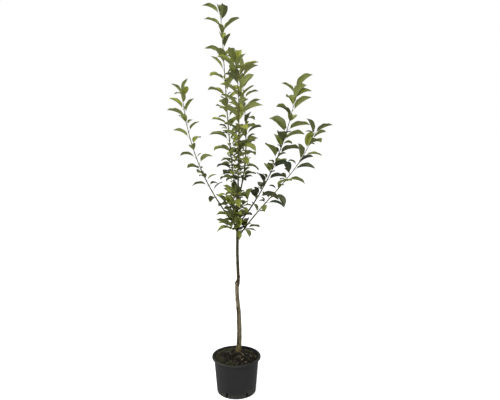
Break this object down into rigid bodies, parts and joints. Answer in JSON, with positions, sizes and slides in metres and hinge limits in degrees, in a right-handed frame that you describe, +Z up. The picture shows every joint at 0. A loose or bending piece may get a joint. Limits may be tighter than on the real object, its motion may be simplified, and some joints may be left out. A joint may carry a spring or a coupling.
{
  "type": "potted sour cherry tree",
  "caption": "Young grafted sour cherry tree with a slim trunk and upright leafy shoots, in a round nursery pot filled with soil.",
  "frame": {"origin": "centre of the pot's flat underside", "axes": "+Z up along the trunk, X along the wide side of the crown, and the front view looks along +Y"},
  "size_m": [0.811, 0.6864, 2.0294],
  "materials": {
    "pot": "satin dark grey plastic",
    "soil": "moist peat and bark potting soil",
    "trunk_bark": "grey-brown young bark",
    "shoot_bark": "smooth red-brown shoot bark",
    "foliage": "slightly glossy green leaf"
  },
  "bodies": {
    "root": {"pot": "pot", "soil": "soil", "trunk": "trunk_bark", "bough_left": "shoot_bark", "bough_right_high": "shoot_bark", "bough_right_low": "shoot_bark", "bough_leader": "shoot_bark", "bough_front": "shoot_bark", "bough_back": "shoot_bark", "foliage_left": "foliage", "foliage_right_high": "foliage", "foliage_right_low": "foliage", "foliage_leader": "foliage", "foliage_front": "foliage", "foliage_back": "foliage", "spray_low_left": "foliage", "spray_low_right": "foliage", "spray_low_back": "foliage", "spray_low_front": "foliage", "spray_middle_left": "foliage", "spray_middle_right": "foliage", "spray_middle_back": "foliage", "spray_middle_front": "foliage"}
  },
  "joints": []
}
